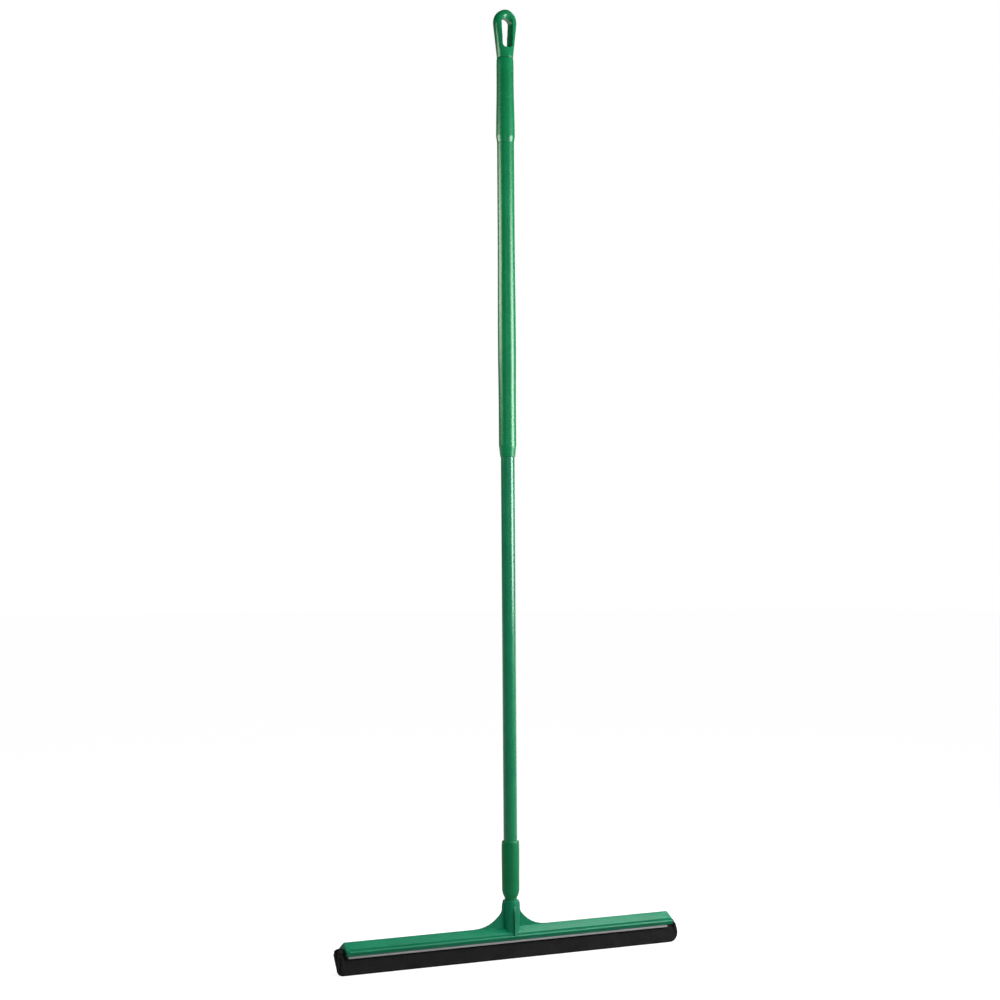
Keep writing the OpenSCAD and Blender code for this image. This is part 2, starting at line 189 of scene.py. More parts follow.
def sponge_strip(name, side):
    """One strip, 1 for the back and -1 for the front, with a faintly uneven skin."""
    bpy.ops.object.select_all(action="DESELECT")
    bpy.ops.mesh.primitive_grid_add(x_subdivisions=240, y_subdivisions=40, size=1)
    strip = bpy.context.object
    strip.name = strip.data.name = name
    strip.scale = (2 * strip_half, strip_h, 1)
    strip.rotation_euler.x = math.radians(90)
    strip.location.z = strip_h / 2
    bpy.ops.object.transform_apply(location=True, rotation=True, scale=True)
    bpy.ops.object.mode_set(mode="EDIT")
    bpy.ops.mesh.select_all(action="SELECT")
    bpy.ops.mesh.extrude_region_move(TRANSFORM_OT_translate={"value": (0, mm, 0)})
    close_up()
    for vertex in strip.data.vertices:
        x, y, z = vertex.co
        x = strip_half * (0.4 * x / strip_half + 0.6 * math.sin(math.pi / 2 * x / strip_half))
        inner_y = strip_inner_y + (0.5 * mm if z < mouth_z - 0.5 * mm else 0)
        y = sponge_face_y(x, z) if y > mm / 2 else inner_y
        vertex.co = (sponge_end_x(x, z, side), side * y, z)
    bpy.ops.object.mode_set(mode="EDIT")
    close_up()
    finish_with(
        strip, "BEVEL",
        width=0.4 * mm, segments=2, limit_method="ANGLE", angle_limit=math.radians(50),
    )
    skin = bpy.data.textures.new(name + " skin", "CLOUDS")
    skin.noise_scale = 0.02
    finish_with(strip, "DISPLACE", texture=skin, strength=0.3 * mm, mid_level=0.5)
    smooth_by_angle(strip, 40)
    return strip


def add_node(tree, kind, inputs=(), **settings):
    """A node with its settings; an input is a value, or the output that feeds it."""
    made = tree.nodes.new("ShaderNode" + kind)
    for key, value in settings.items():
        setattr(made, key, value)
    for key, value in dict(inputs).items():
        if isinstance(value, bpy.types.NodeSocket):
            tree.links.new(value, made.inputs[key])
        else:
            made.inputs[key].default_value = value
    return made


def new_group(name, inputs, outputs):
    """An empty node group with float inputs and outputs, and its two end nodes."""
    group = bpy.data.node_groups.new(name, "ShaderNodeTree")
    for label, value in inputs.items():
        socket = group.interface.new_socket(label, in_out="INPUT", socket_type="NodeSocketFloat")
        socket.default_value = value
    for label in outputs:
        group.interface.new_socket(label, in_out="OUTPUT", socket_type="NodeSocketFloat")
    return group, group.nodes.new("NodeGroupInput"), group.nodes.new("NodeGroupOutput")


def surface_noise():
    """Two noises on the piece's own coordinates: broad clouds of tone, and a fine grain as height."""
    group, given, put_out = new_group(
        "surface noise", {"Cloud Scale": 20.0, "Grain Scale": 900.0}, ["Cloud", "Grain"]
    )
    place = add_node(group, "TexCoord").outputs["Object"]
    cloud = add_node(
        group, "TexNoise",
        {"Vector": place, "Scale": given.outputs["Cloud Scale"], "Detail": 4.0, "Roughness": 0.6},
    )
    grain = add_node(
        group, "TexNoise",
        {"Vector": place, "Scale": given.outputs["Grain Scale"], "Detail": 2.0, "Roughness": 0.55},
    )
    group.links.new(cloud.outputs["Fac"], put_out.inputs["Cloud"])
    group.links.new(grain.outputs["Fac"], put_out.inputs["Grain"])
    return group


noise_group = surface_noise()


def start_material(name, roughness, specular):
    """A material whose shader has its plain numbers set."""
    material = bpy.data.materials.new(name)
    material.use_nodes = True
    shader = material.node_tree.nodes["Principled BSDF"]
    shader.inputs["Roughness"].default_value = roughness
    shader.inputs["Specular IOR Level"].default_value = specular
    return material, material.node_tree, shader


def place_group(tree, group, **values):
    """A node group in a material, with values for its inputs."""
    made = tree.nodes.new("ShaderNodeGroup")
    made.node_tree = group
    for label, value in values.items():
        made.inputs[label.replace("_", " ")].default_value = value
    return made


def cloudy_tone(tree, noise, deep, pale, pale_from=0.75):
    """A colour that drifts between two tones with the broad noise."""
    tone = add_node(tree, "ValToRGB", {"Fac": noise.outputs["Cloud"]})
    stops = tone.color_ramp.elements
    stops[0].position = 0.3
    stops[0].color = (*deep, 1)
    stops[1].position = pale_from
    stops[1].color = (*pale, 1)
    return tone.outputs["Color"]


def sponge_rubber():
    """Black sponge rubber: dull, with pinholes where the cut opened its cells, and painted shade that
    darkens its lower edge.
    """
    material, tree, shader = start_material("sponge rubber", roughness=0.92, specular=0.2)
    noise = place_group(tree, noise_group, Cloud_Scale=45.0, Grain_Scale=1400.0)
    place = add_node(tree, "TexCoord").outputs["Object"]
    cells = add_node(tree, "TexVoronoi", {"Vector": place, "Scale": 900.0})
    pits = add_node(
        tree, "MapRange",
        {"Value": cells.outputs["Distance"], "From Min": 0.0, "From Max": 0.35},
    )
    along = add_node(tree, "Mapping", {"Vector": place, "Scale": (12.0, 600.0, 600.0)})
    knife = add_node(tree, "TexNoise", {"Vector": along.outputs["Vector"], "Scale": 1.0, "Detail": 3.0})
    tone = cloudy_tone(tree, noise, (0.0045, 0.0045, 0.0045), (0.0125, 0.0120, 0.0118))
    # Painted shade: the colour goes nearly black over the lowest 1.2 to 2.6 mm of the strip, where the edge
    # sits in shade over the floor.
    height_over_edge = add_node(tree, "SeparateXYZ", {"Vector": place}).outputs["Z"]
    painted_lower_edge_shade = add_node(
        tree, "MapRange",
        {"Value": height_over_edge, "From Min": 1.2 * mm, "From Max": 2.6 * mm,
         "To Min": 0.7, "To Max": 0.0},
    )
    colour = add_node(
        tree, "Mix",
        {"Factor": painted_lower_edge_shade.outputs["Result"], "A": tone, "B": (0.001, 0.001, 0.001, 1)},
        data_type="RGBA",
    )
    cut_face = add_node(
        tree, "Math", {0: knife.outputs["Fac"], 1: noise.outputs["Grain"]}, operation="ADD",
    )
    height = add_node(
        tree, "Math", {0: pits.outputs["Result"], 1: cut_face.outputs[0]}, operation="ADD",
    )
    bump = add_node(tree, "Bump", {"Height": height.outputs[0], "Strength": 0.5, "Distance": 0.2 * mm})
    tree.links.new(colour.outputs["Result"], shader.inputs["Base Color"])
    tree.links.new(bump.outputs["Normal"], shader.inputs["Normal"])
    return material


back_sponge = sponge_strip("back_sponge", 1)
front_sponge = sponge_strip("front_sponge", -1)
black_sponge = sponge_rubber()
for strip, node in ((back_sponge, "back_blade"), (front_sponge, "front_blade")):
    strip.data.materials.append(black_sponge)
    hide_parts(node)
    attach(strip, "cartridge")


# ---- Blade cassette ----
# A grey plastic profile with two pockets that open downwards and hold the strips. It is
# extruded in lengths and sawn off, and slides into the holder on the grooves in its sides.

barb_depth = 0.5 * mm
barb_pitch = 3 * mm
lip_y = cassette_high.y
holder_low, holder_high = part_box("blade_holder")
channel_pitch = math.radians(40.5)
channel_slope = math.tan(channel_pitch)
lip_h = 2.7 * mm
wall_low_z = mouth_z + 3.7 * mm
rail_z = wall_low_z + 1.4 * mm
rail_y = 11.3 * mm
rail_h = 2 * mm
slide_gap = 0.4 * mm
cassette_y = 12.4 * mm


def cassette_section():
    """Outline of the cassette's back half, from the web between the strips round to the top."""
    top = cassette_high.z
    top_y = 6.36 * mm
    groove_y = rail_y - slide_gap
    barbs = []
    for k in (2, 1, 0):
        z = mouth_z + 1.2 * mm + k * barb_pitch
        barbs += [(gripped_y, z + barb_pitch - 0.6 * mm), (gripped_y - barb_depth, z + 0.4 * mm),
                  (gripped_y, z)]
    edge = 0.6 * mm
    return (
        [(0, mouth_z), (strip_inner_y - 0.3 * mm, mouth_z), (strip_inner_y, mouth_z + 0.3 * mm),
         (strip_inner_y, strip_h), (strip_top_y, strip_h), (gripped_y, strip_h - 3.33 * mm)]
        + barbs
        + [(gripped_y, mouth_z + 0.3 * mm), (gripped_y + 0.3 * mm, mouth_z)]
        + arc((lip_y - edge, mouth_z + edge), edge, -90, 0, 4)
        + arc((lip_y - edge, mouth_z + lip_h - edge), edge, 0, 90, 4)
        + [(cassette_y, mouth_z + lip_h), (cassette_y, rail_z - slide_gap),
           (groove_y, rail_z - slide_gap), (groove_y, rail_z + rail_h + slide_gap),
           (cassette_y, rail_z + rail_h + slide_gap),
           (cassette_y, top - (cassette_y - top_y) * channel_slope), (top_y, top), (0, top)]
    )


def mirror_over(piece, axis):
    """Adds the piece's mirror image over the middle plane and welds the two."""
    finish_with(
        piece, "MIRROR",
        use_axis=[axis == k for k in "XYZ"], use_mirror_merge=True, merge_threshold=0.01 * mm,
    )
    bpy.ops.object.mode_set(mode="EDIT")
    close_up()


def open_middle():
    """Deletes the faces that lie in the middle plane, so that a half can be mirrored onto them."""
    pick("FACE", lambda middle: abs(middle.y) < 0.001 * mm)
    bpy.ops.mesh.delete(type="FACE")
    bpy.ops.object.mode_set(mode="OBJECT")


cassette_start = cassette_low.x - 2.7 * mm
cassette_end = cassette_high.x - 5 * mm
blade_cassette = pull_section(
    "blade_cassette", cassette_section(), cassette_start, [cassette_end - cassette_start]
)
close_up()
open_middle()
mirror_over(blade_cassette, "Y")
smooth_by_angle(blade_cassette, 30)


def grey_plastic():
    """Light grey plastic with fine die lines along its length and a slightly chalky tone."""
    material, tree, shader = start_material("grey extruded plastic", roughness=0.42, specular=0.4)
    noise = place_group(tree, noise_group, Cloud_Scale=30.0, Grain_Scale=1600.0)
    place = add_node(tree, "TexCoord").outputs["Object"]
    along = add_node(tree, "Mapping", {"Vector": place, "Scale": (4.0, 900.0, 900.0)})
    lines = add_node(tree, "TexNoise", {"Vector": along.outputs["Vector"], "Scale": 2.0, "Detail": 3.0})
    tone = cloudy_tone(tree, noise, (0.23, 0.24, 0.245), (0.29, 0.30, 0.305))
    bump = add_node(
        tree, "Bump", {"Height": lines.outputs["Fac"], "Strength": 0.25, "Distance": 0.08 * mm}
    )
    tree.links.new(tone, shader.inputs["Base Color"])
    tree.links.new(bump.outputs["Normal"], shader.inputs["Normal"])
    return material


blade_cassette.data.materials.append(grey_plastic())
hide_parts("cassette")
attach(blade_cassette, "cartridge")

# ---- Blade holder ----
# One green plastic moulding: a roof-shaped channel with a rolled rim and two rails inside,
# and a threaded socket on top that fins and ribs tie down to the roof.

wall_in_y = 12.8 * mm
recess_y = 14 * mm
wall_out_y = 14.5 * mm
roll_r = 1.9 * mm
roll_y = holder_high.y - roll_r
roll_z = wall_low_z + 5.2 * mm
cassette_apex_z = wall_low_z + 20.67 * mm
ridge_r = 3 * mm
roof_wall = 2.5 * mm
channel_cos = math.cos(channel_pitch)
ridge_centre_z = cassette_apex_z - ridge_r / channel_cos
ridge_z = ridge_centre_z + ridge_r
channel_apex_z = cassette_apex_z - roof_wall / channel_cos
roof_pitch = math.radians(33.7)
apex_z = ridge_centre_z + ridge_r / math.cos(roof_pitch)
eave_z = apex_z - wall_out_y * math.tan(roof_pitch)
socket_top_z = holder_high.z
tube_r = 13.9 * mm
bore_r = 10.46 * mm
bore_depth = 40 * mm
boss_x = cassette_low.x - 1.8 * mm
boss_z = wall_low_z + 4.7 * mm
fin_root_x = 15.5 * mm
fin_tip_x = 63 * mm
fin_curve_r = 58 * mm
fin_t = 4 * mm
holder_len = 2 * holder_high.x


def roof_outline():
    """Half outline of the holder from outside: recess, rolled rim, wall, eave, slope and ridge."""
    edge = 0.6 * mm
    eave_y = wall_out_y - edge
    eave = (eave_y, apex_z - eave_y * math.tan(roof_pitch) - edge / math.cos(roof_pitch))
    under = math.degrees(math.acos((recess_y - roll_y) / roll_r))
    lean = 90 - math.degrees(roof_pitch)
    return (
        [(recess_y - 0.3 * mm, wall_low_z), (recess_y, wall_low_z + 0.3 * mm)]
        + arc((roll_y, roll_z), roll_r, -under, 100, 14)
        + [(wall_out_y, roll_z + roll_r + 0.15 * mm)]
        + arc(eave, edge, 0, lean, 4)
        + arc((0, ridge_centre_z), ridge_r, lean, 90, 5)
    )


def channel_outline():
    """Half outline of the hollow that the cassette slides in, with the rails left standing."""
    edge = 0.4 * mm
    return [
        (wall_in_y + edge, wall_low_z), (wall_in_y, wall_low_z + edge),
        (wall_in_y, rail_z), (rail_y + edge, rail_z), (rail_y, rail_z + edge),
        (rail_y, rail_z + rail_h - edge), (rail_y + edge, rail_z + rail_h), (wall_in_y, rail_z + rail_h),
        (wall_in_y, channel_apex_z - wall_in_y * channel_slope), (0, channel_apex_z),
    ]


def hollow_outline():
    """The channel's roof, a little higher, to trim what stands on the holder inside its wall."""
    inside = 0.6 * mm
    eave_y = wall_in_y + inside
    top_z = channel_apex_z + inside
    return both_sides([(eave_y, 0), (eave_y, top_z - wall_in_y * channel_slope), (0, top_z)])


def both_sides(half):
    """A half outline and its mirror image, as one ring of points."""
    return half + [(-a, b) for a, b in reversed(half) if a > 0]


def turn_profile(name, profile, steps=96):
    """Draws a closed profile in X and Z and spins it round the handle's axis."""
    piece = draw_outline(name, [Vector((r, 0, z)) for r, z in profile + profile[:1]])
    bpy.ops.mesh.select_all(action="SELECT")
    bpy.ops.mesh.remove_doubles(threshold=0.005 * mm)
    bpy.ops.mesh.select_all(action="SELECT")
    bpy.ops.mesh.spin(steps=steps, angle=math.tau, center=(0, 0, 0), axis=(0, 0, 1))
    close_up()
    return piece


def join_solid(piece, tool, operation="UNION"):
    """Unites a solid with a piece, or cuts it out, and deletes the tool."""
    finish_with(piece, "BOOLEAN", object=tool, operation=operation, solver="EXACT")
    bpy.data.objects.remove(tool)


def saw_off(place, normal):
    """Cuts everything beyond a plane off the piece being edited and closes the cut."""
    bpy.ops.mesh.select_all(action="SELECT")
    bpy.ops.mesh.bisect(plane_co=place, plane_no=normal, clear_outer=True)
    bpy.ops.mesh.select_all(action="SELECT")
    bpy.ops.mesh.fill_holes(sides=0)


def shape_end(side):
    """Slants an end back towards the ridge, bevels it, and lets each slope of the roof fall off to it."""
    setback = 2.5 * mm if side > 0 else 1 * mm
    bevel = 1.3 * mm
    facet_reach = 9 * mm
    facet_turn = math.radians(10)
    lean = math.atan(setback / (ridge_z - roll_z))
    saw_off((side * holder_high.x, 0, roll_z), (side * math.cos(lean), 0, math.sin(lean)))
    turn = math.atan(setback * math.cos(roof_pitch) / wall_out_y)
    for face in (1, -1):
        out = Vector((
            math.cos(turn),
            -face * math.sin(turn) * math.cos(roof_pitch),
            math.sin(turn) * math.sin(roof_pitch),
        ))
        up = Vector((0, face * math.sin(roof_pitch), math.cos(roof_pitch)))
        normal = (out + up) / math.sqrt(2)
        eave = Vector((holder_high.x - bevel, face * wall_out_y, eave_z))
        saw_off((side * eave.x, eave.y, eave.z), (side * normal.x, normal.y, normal.z))
        top = Vector((holder_high.x - setback - bevel, 0, apex_z))
        low = Vector((holder_high.x - facet_reach, face * wall_out_y, eave_z))
        turned = up.copy()
        turned.rotate(Matrix.Rotation(face * facet_turn, 3, (low - top).normalized()))
        saw_off((side * top.x, top.y, top.z), (side * turned.x, turned.y, turned.z))
        corner = (side * holder_high.x, face * (holder_high.y - 2 * mm), roll_z)
        saw_off(corner, (side * math.sqrt(0.5), face * math.sqrt(0.5), 0))


def shoulder(low_r, high_r, low_z, height, steps):
    """Points on a curve that leaves a straight wall and leans in to a smaller radius."""
    big = (height ** 2 + (low_r - high_r) ** 2) / (2 * (low_r - high_r))
    return arc((low_r - big, low_z), big, 0, math.degrees(math.asin(height / big)), steps)


def socket_profile():
    """The socket's tube from its foot inside the roof to its rounded mouth."""
    edge = mm
    return (
        [(0, roll_z), (tube_r, roll_z), (tube_r, socket_top_z - 18 * mm)]
        + arc((tube_r - 0.7 * mm - edge, socket_top_z - edge), edge, 0, 90, 5)
        + [(0, socket_top_z)]
    )


def bore_profile():
    """The socket's bore, with a chamfered mouth; it reaches a little past the socket's top."""
    low = socket_top_z - bore_depth
    high = socket_top_z + 0.4 * mm
    return [(0, low), (bore_r, low), (bore_r, socket_top_z - 0.8 * mm),
            (bore_r + 1.2 * mm, high), (0, high)]


def fin_section():
    """Both side fins in X and Z: they hug the socket and run out along the ridge in a hollow curve."""
    fillet_r = 12 * mm
    centre = Vector((fin_tip_x, ridge_z + fin_curve_r))
    across = fin_tip_x - fin_root_x - fillet_r
    drop = math.sqrt((fin_curve_r - fillet_r) ** 2 - across ** 2)
    turn = math.degrees(math.atan2(drop, across))
    shoulder_z = socket_top_z - 8 * mm
    return both_sides(
        [(fin_tip_x, ridge_centre_z)]
        + arc(centre, fin_curve_r, -90, -180 + turn, 20)
        + arc((fin_root_x + fillet_r, centre.y - drop), fillet_r, -180 + turn, -180, 6)[1:]
        + shoulder(fin_root_x - 0.2 * mm, 12.2 * mm, shoulder_z, 7.7 * mm, 8)
    )


def stand_rib(side):
    """Front or back rib: it stands on the rolled rim and leans in to the socket."""
    thickness = 5 * mm
    start_x = (-2.5 - side) * mm
    top = socket_top_z - 10 * mm
    foot_z = roll_z - 0.5 * mm
    section = [
        (0, foot_z), (side * (holder_high.y - 0.15 * mm), foot_z),
        (side * (holder_high.y - 0.7 * mm), top - 10 * mm), (side * (tube_r - 0.3 * mm), top), (0, top),
    ]
    rib = pull_section("rib", section, start_x, [thickness])
    close_up()
    return rib


def solid_bar(name, section, length, axis="X"):
    """A section pulled along one axis about the middle, with its faces outwards."""
    bar = pull_section(name, section, -length / 2, [length], axis)
    close_up()
    return bar


def catch_boss(side):
    """Round boss on the rim near the left end, where the cassette's catch sits."""
    boss_r = 3.4 * mm
    middle_y = holder_high.y - 1.3 * mm
    bpy.ops.object.select_all(action="DESELECT")
    bpy.ops.mesh.primitive_cylinder_add(
        vertices=48, radius=boss_r, depth=3.2 * mm, location=(boss_x, side * middle_y, boss_z),
        rotation=(math.radians(90), 0, 0),
    )
    boss = bpy.context.object
    bpy.ops.object.transform_apply()
    bpy.ops.object.mode_set(mode="EDIT")
    pick("EDGE", lambda middle: middle.y * side > holder_high.y + 0.2 * mm)
    bpy.ops.mesh.bevel(offset=0.25 * mm, segments=2)
    close_up()
    return boss


def catch_groove(side):
    """Ring-shaped groove in the boss's face, which leaves a pin standing in its middle."""
    ring_y = holder_high.y + 0.25 * mm
    bpy.ops.object.select_all(action="DESELECT")
    bpy.ops.mesh.primitive_torus_add(
        major_segments=48, minor_segments=12, major_radius=1.6 * mm, minor_radius=0.75 * mm,
        location=(boss_x, side * ring_y, boss_z),
        rotation=(math.radians(90), 0, 0),
    )
    groove = bpy.context.object
    bpy.ops.object.transform_apply()
    return groove


def end_stop(side):
    """Block inside the left end that the cassette comes up against."""
    thickness = 2.3 * mm
    bite = 0.5 * mm
    inner_y = rail_y - 0.4 * mm
    outer_y = wall_in_y + bite
    low_z = rail_z + 1.9 * mm
    high_z = channel_apex_z - wall_in_y * channel_slope + bite
    section = [(side * inner_y, low_z), (side * outer_y, low_z),
               (side * outer_y, high_z), (side * inner_y, high_z)]
    block = pull_section("end_stop", section, holder_low.x + 0.8 * mm, [thickness])
    close_up()
    return block


squeegee_head = solid_bar(
    "squeegee_head", both_sides(roof_outline()) + both_sides(channel_outline())[::-1], holder_len
)
bpy.ops.object.mode_set(mode="EDIT")
for side in (1, -1):
    shape_end(side)
close_up()
socket = turn_profile("socket", socket_profile())
join_solid(socket, solid_bar("fins", fin_section(), fin_t, "Y"))
for side in (1, -1):
    join_solid(socket, stand_rib(side))
join_solid(socket, solid_bar("hollow", hollow_outline(), holder_len), "DIFFERENCE")
join_solid(socket, turn_profile("bore", bore_profile()), "DIFFERENCE")
join_solid(squeegee_head, socket)
for side in (1, -1):
    join_solid(squeegee_head, end_stop(side))
    join_solid(squeegee_head, catch_boss(side))
    join_solid(squeegee_head, catch_groove(side), "DIFFERENCE")
smooth_by_angle(squeegee_head, 30)


def edge_highlight_mask():
    """A mask that is 1 where an edge turns sharply, read by rounding the surface over a short reach; it
    places a painted highlight along edges.
    """
    group, given, put_out = new_group("painted edge highlight", {"Reach": 0.0006}, ["Mask"])
    flat = add_node(group, "NewGeometry").outputs["Normal"]
    rounded = add_node(group, "Bevel", {"Radius": given.outputs["Reach"]}, samples=6)
    likeness = add_node(
        group, "VectorMath", {0: flat, 1: rounded.outputs["Normal"]}, operation="DOT_PRODUCT"
    )
    mask = add_node(
        group, "MapRange",
        {"Value": likeness.outputs["Value"], "From Min": 0.995, "From Max": 0.85},
    )
    group.links.new(mask.outputs["Result"], put_out.inputs["Mask"])
    return group


edge_highlight_group = edge_highlight_mask()


def green_plastic(name, deep, pale, roughness, specular, grain_scale, grain_depth, edge_highlight_strength=0.3):
    """Green plastic or coating: cloudy between two greens, grained, with a paler painted highlight along
    sharp edges.
    """
    edge = 0.6 * mm
    material, tree, shader = start_material(name, roughness, specular)
    noise = place_group(tree, noise_group, Cloud_Scale=22.0, Grain_Scale=grain_scale)
    tone = cloudy_tone(tree, noise, deep, pale, pale_from=0.72)
    # Painted highlight: sharp edges are mixed towards a paler green, as if they caught the light.
    edge_highlight_node = place_group(tree, edge_highlight_group, Reach=edge)
    edge_highlight_share = add_node(tree, "Math", {0: edge_highlight_node.outputs["Mask"], 1: edge_highlight_strength}, operation="MULTIPLY")
    colour = add_node(
        tree, "Mix",
        {"Factor": edge_highlight_share.outputs[0], "A": tone, "B": (0.10, 0.36, 0.22, 1)},
        data_type="RGBA",
    )
    rough = add_node(
        tree, "MapRange",
        {"Value": noise.outputs["Cloud"], "To Min": roughness - 0.06, "To Max": roughness + 0.06},
    )
    soft = add_node(tree, "Bevel", {"Radius": edge}, samples=6)
    bump = add_node(
        tree, "Bump",
        {"Height": noise.outputs["Grain"], "Strength": 0.6, "Distance": grain_depth,
         "Normal": soft.outputs["Normal"]},
    )
    tree.links.new(colour.outputs["Result"], shader.inputs["Base Color"])
    tree.links.new(rough.outputs["Result"], shader.inputs["Roughness"])
    tree.links.new(bump.outputs["Normal"], shader.inputs["Normal"])
    return material


satin_green = green_plastic(
    "satin green plastic", deep=(0, 0.165, 0.078), pale=(0.001, 0.205, 0.098),
    roughness=0.4, specular=0.17, grain_scale=520.0, grain_depth=0.07 * mm, edge_highlight_strength=0.12,
)
squeegee_head.data.materials.append(satin_green)
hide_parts("blade_holder")
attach(squeegee_head, "head")

# ---- Thread end ----
# A green plastic ferrule with a coarse screw thread below, fixed on the pole's lower end.
# The pole stands in its cup, over a spigot; the stud screws into the holder's socket.

stud_low, stud_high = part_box("thread_end")
pole_low, pole_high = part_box("pole_tube")
pole_r = pole_high.x
ferrule_low_z = stud_low.z + 43 * mm
ferrule_top_z = ferrule_low_z + 90.2 * mm
ferrule_r = stud_high.x - 0.4 * mm
thread_r = 10.4 * mm
core_r = 9.1 * mm
collar_r = 9.9 * mm
thread_pitch = 5 * mm


def threaded_stud():
    """One turn's flank and crest, swept along a helix, then sawn flat at both ends of the thread."""
    start_z = stud_low.z - 1.5 * thread_pitch
    turns = 12
    groove = [(core_r, 0), (core_r, 1.4 * mm), (thread_r - 0.15 * mm, 2.5 * mm), (thread_r, 2.8 * mm),
              (thread_r, 3.5 * mm), (thread_r - 0.15 * mm, 3.8 * mm), (core_r, thread_pitch)]
    stud = draw_outline("screw_ferrule", [Vector((r, 0, start_z + h)) for r, h in groove])
    bpy.ops.object.mode_set(mode="OBJECT")
    finish_with(
        stud, "SCREW", screw_offset=thread_pitch, iterations=turns, steps=64, render_steps=64,
        use_merge_vertices=True, merge_threshold=0.01 * mm,
    )
    bpy.ops.object.mode_set(mode="EDIT")
    saw_off((0, 0, stud_low.z), (0, 0, -1))
    saw_off((0, 0, socket_top_z - mm), (0, 0, 1))
    close_up()
    return stud


def ferrule_profile():
    """From the plain collar over the thread up the outside, down into the cup and up the spigot."""
    collar_z = socket_top_z - 4 * mm
    taper_z = ferrule_low_z + 10 * mm
    cup_r = pole_r + 0.06 * mm
    seat_z = pole_low.z - 0.3 * mm
    spigot_r = pole_r - 1.26 * mm
    spigot_top_z = seat_z + 34 * mm
    rim_r = 2.1 * mm
    return (
        [(0, collar_z), (collar_r, collar_z), (collar_r, ferrule_low_z),
         (collar_r + 0.8 * mm, ferrule_low_z + 0.4 * mm),
         (ferrule_r - 1.6 * mm, ferrule_low_z + 5 * mm)]
        + shoulder(ferrule_r, ferrule_r - 0.3 * mm, taper_z, 1 * mm, 1)[1:]
        + shoulder(ferrule_r, ferrule_r - 0.5 * mm, ferrule_top_z - 16 * mm, 13.9 * mm, 8)
        + arc((ferrule_r - 0.5 * mm - rim_r, ferrule_top_z - rim_r), rim_r, 0, 80, 5)[1:]
        + [(cup_r + 0.3 * mm, ferrule_top_z), (cup_r, ferrule_top_z - 0.3 * mm), (cup_r, seat_z),
           (spigot_r, seat_z), (spigot_r, seat_z + 31 * mm), (spigot_r - 1.2 * mm, spigot_top_z),
           (0, spigot_top_z)]
    )


screw_ferrule = threaded_stud()
join_solid(screw_ferrule, turn_profile("ferrule", ferrule_profile()))
smooth_by_angle(screw_ferrule, 35)
deep_satin_green = green_plastic(
    "deep satin green plastic", deep=(0, 0.160, 0.052), pale=(0.001, 0.195, 0.068),
    roughness=0.4, specular=0.2, grain_scale=520.0, grain_depth=0.05 * mm,
)
screw_ferrule.data.materials.append(deep_satin_green)
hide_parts("thread_end")
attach(screw_ferrule, "handle")

# ---- Pole ----
# A straight aluminium tube, sawn square and powder coated green, so that its skin is
# faintly pebbled. Its lower end stands in the ferrule, its upper end under the grip.

pole_wall = 1.2 * mm
chamfer = 0.25 * mm
pole = turn_profile("pole", [
    (pole_r - chamfer, pole_low.z), (pole_r, pole_low.z + chamfer),
    (pole_r, pole_high.z - chamfer), (pole_r - chamfer, pole_high.z),
    (pole_r - pole_wall, pole_high.z), (pole_r - pole_wall, pole_low.z),
])
smooth_by_angle(pole)
coated_green = green_plastic(
    "green powder coat", deep=(0.007, 0.190, 0.085), pale=(0.012, 0.230, 0.103),
    roughness=0.2, specular=0.4, grain_scale=520.0, grain_depth=0.03 * mm,
)
pole.data.materials.append(coated_green)
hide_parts("pole_tube")
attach(pole, "handle")

# ---- Lower hand sleeve ----
# A long green plastic sleeve pushed up the pole to the grip. It is thickest where the lower
# hand pushes, and tapers to a thin lip that hugs the pole.

sleeve_low, sleeve_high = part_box("grip_sleeve")
bore_over_pole = pole_r + 0.05 * mm
sleeve_top_r = 13.65 * mm
sleeve_low_r = 14 * mm
belly_r = sleeve_high.x
belly_rise = 171 * mm
sleeve_taper_h = 18 * mm
sleeve_len = sleeve_high.z - sleeve_low.z


def sleeve_radius(rise):
    """Outer radius at a height over the sleeve's lower end."""
    plain = sleeve_low_r + (sleeve_top_r - sleeve_low_r) * rise / sleeve_len
    spread = belly_rise * (0.55 if rise < belly_rise else 1.1)
    near = 1 - ease(abs(rise - belly_rise), 0, spread)
    return plain + (belly_r - plain) * near


def sleeve_profile():
    """From the thin lip up the tapered knee and the bellied outside, and back down the bore."""
    tip_r = 12.1 * mm
    lip_r = 0.95 * mm
    steps = 60
    straight = sleeve_len - sleeve_taper_h - 0.5 * mm
    heights = [sleeve_taper_h + straight * k / steps for k in range(steps + 1)]
    knee_r = sleeve_radius(sleeve_taper_h)
    knee = shoulder(knee_r - 0.05 * mm, knee_r - 0.5 * mm, 0, 3.5 * mm, 4)
    return (
        arc((tip_r - lip_r, sleeve_low.z + lip_r), lip_r, -90, 0, 4)
        + [(r, sleeve_low.z + sleeve_taper_h - h) for r, h in reversed(knee)]
        + [(sleeve_radius(h), sleeve_low.z + h) for h in heights[1:]]
        + [(sleeve_top_r - 0.5 * mm, sleeve_high.z), (bore_over_pole, sleeve_high.z),
           (bore_over_pole, sleeve_low.z)]
    )


lower_sleeve = turn_profile("lower_sleeve", sleeve_profile())
smooth_by_angle(lower_sleeve)
gloss_green = green_plastic(
    "gloss green plastic", deep=(0, 0.195, 0.064), pale=(0, 0.235, 0.080),
    roughness=0.27, specular=0.35, grain_scale=420.0, grain_depth=0.012 * mm,
)
lower_sleeve.data.materials.append(gloss_green)
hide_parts("grip_sleeve")
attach(lower_sleeve, "handle")

# ---- Upper grip ----
# A shorter green plastic grip over the pole's top end. It butts against the sleeve with a
# chamfered shoulder and narrows upwards to the loop's neck.

grip_low, grip_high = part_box("hand_grip")
grip_low_r = grip_high.x
grip_top_r = 13.75 * mm
neck_r = 13.1 * mm


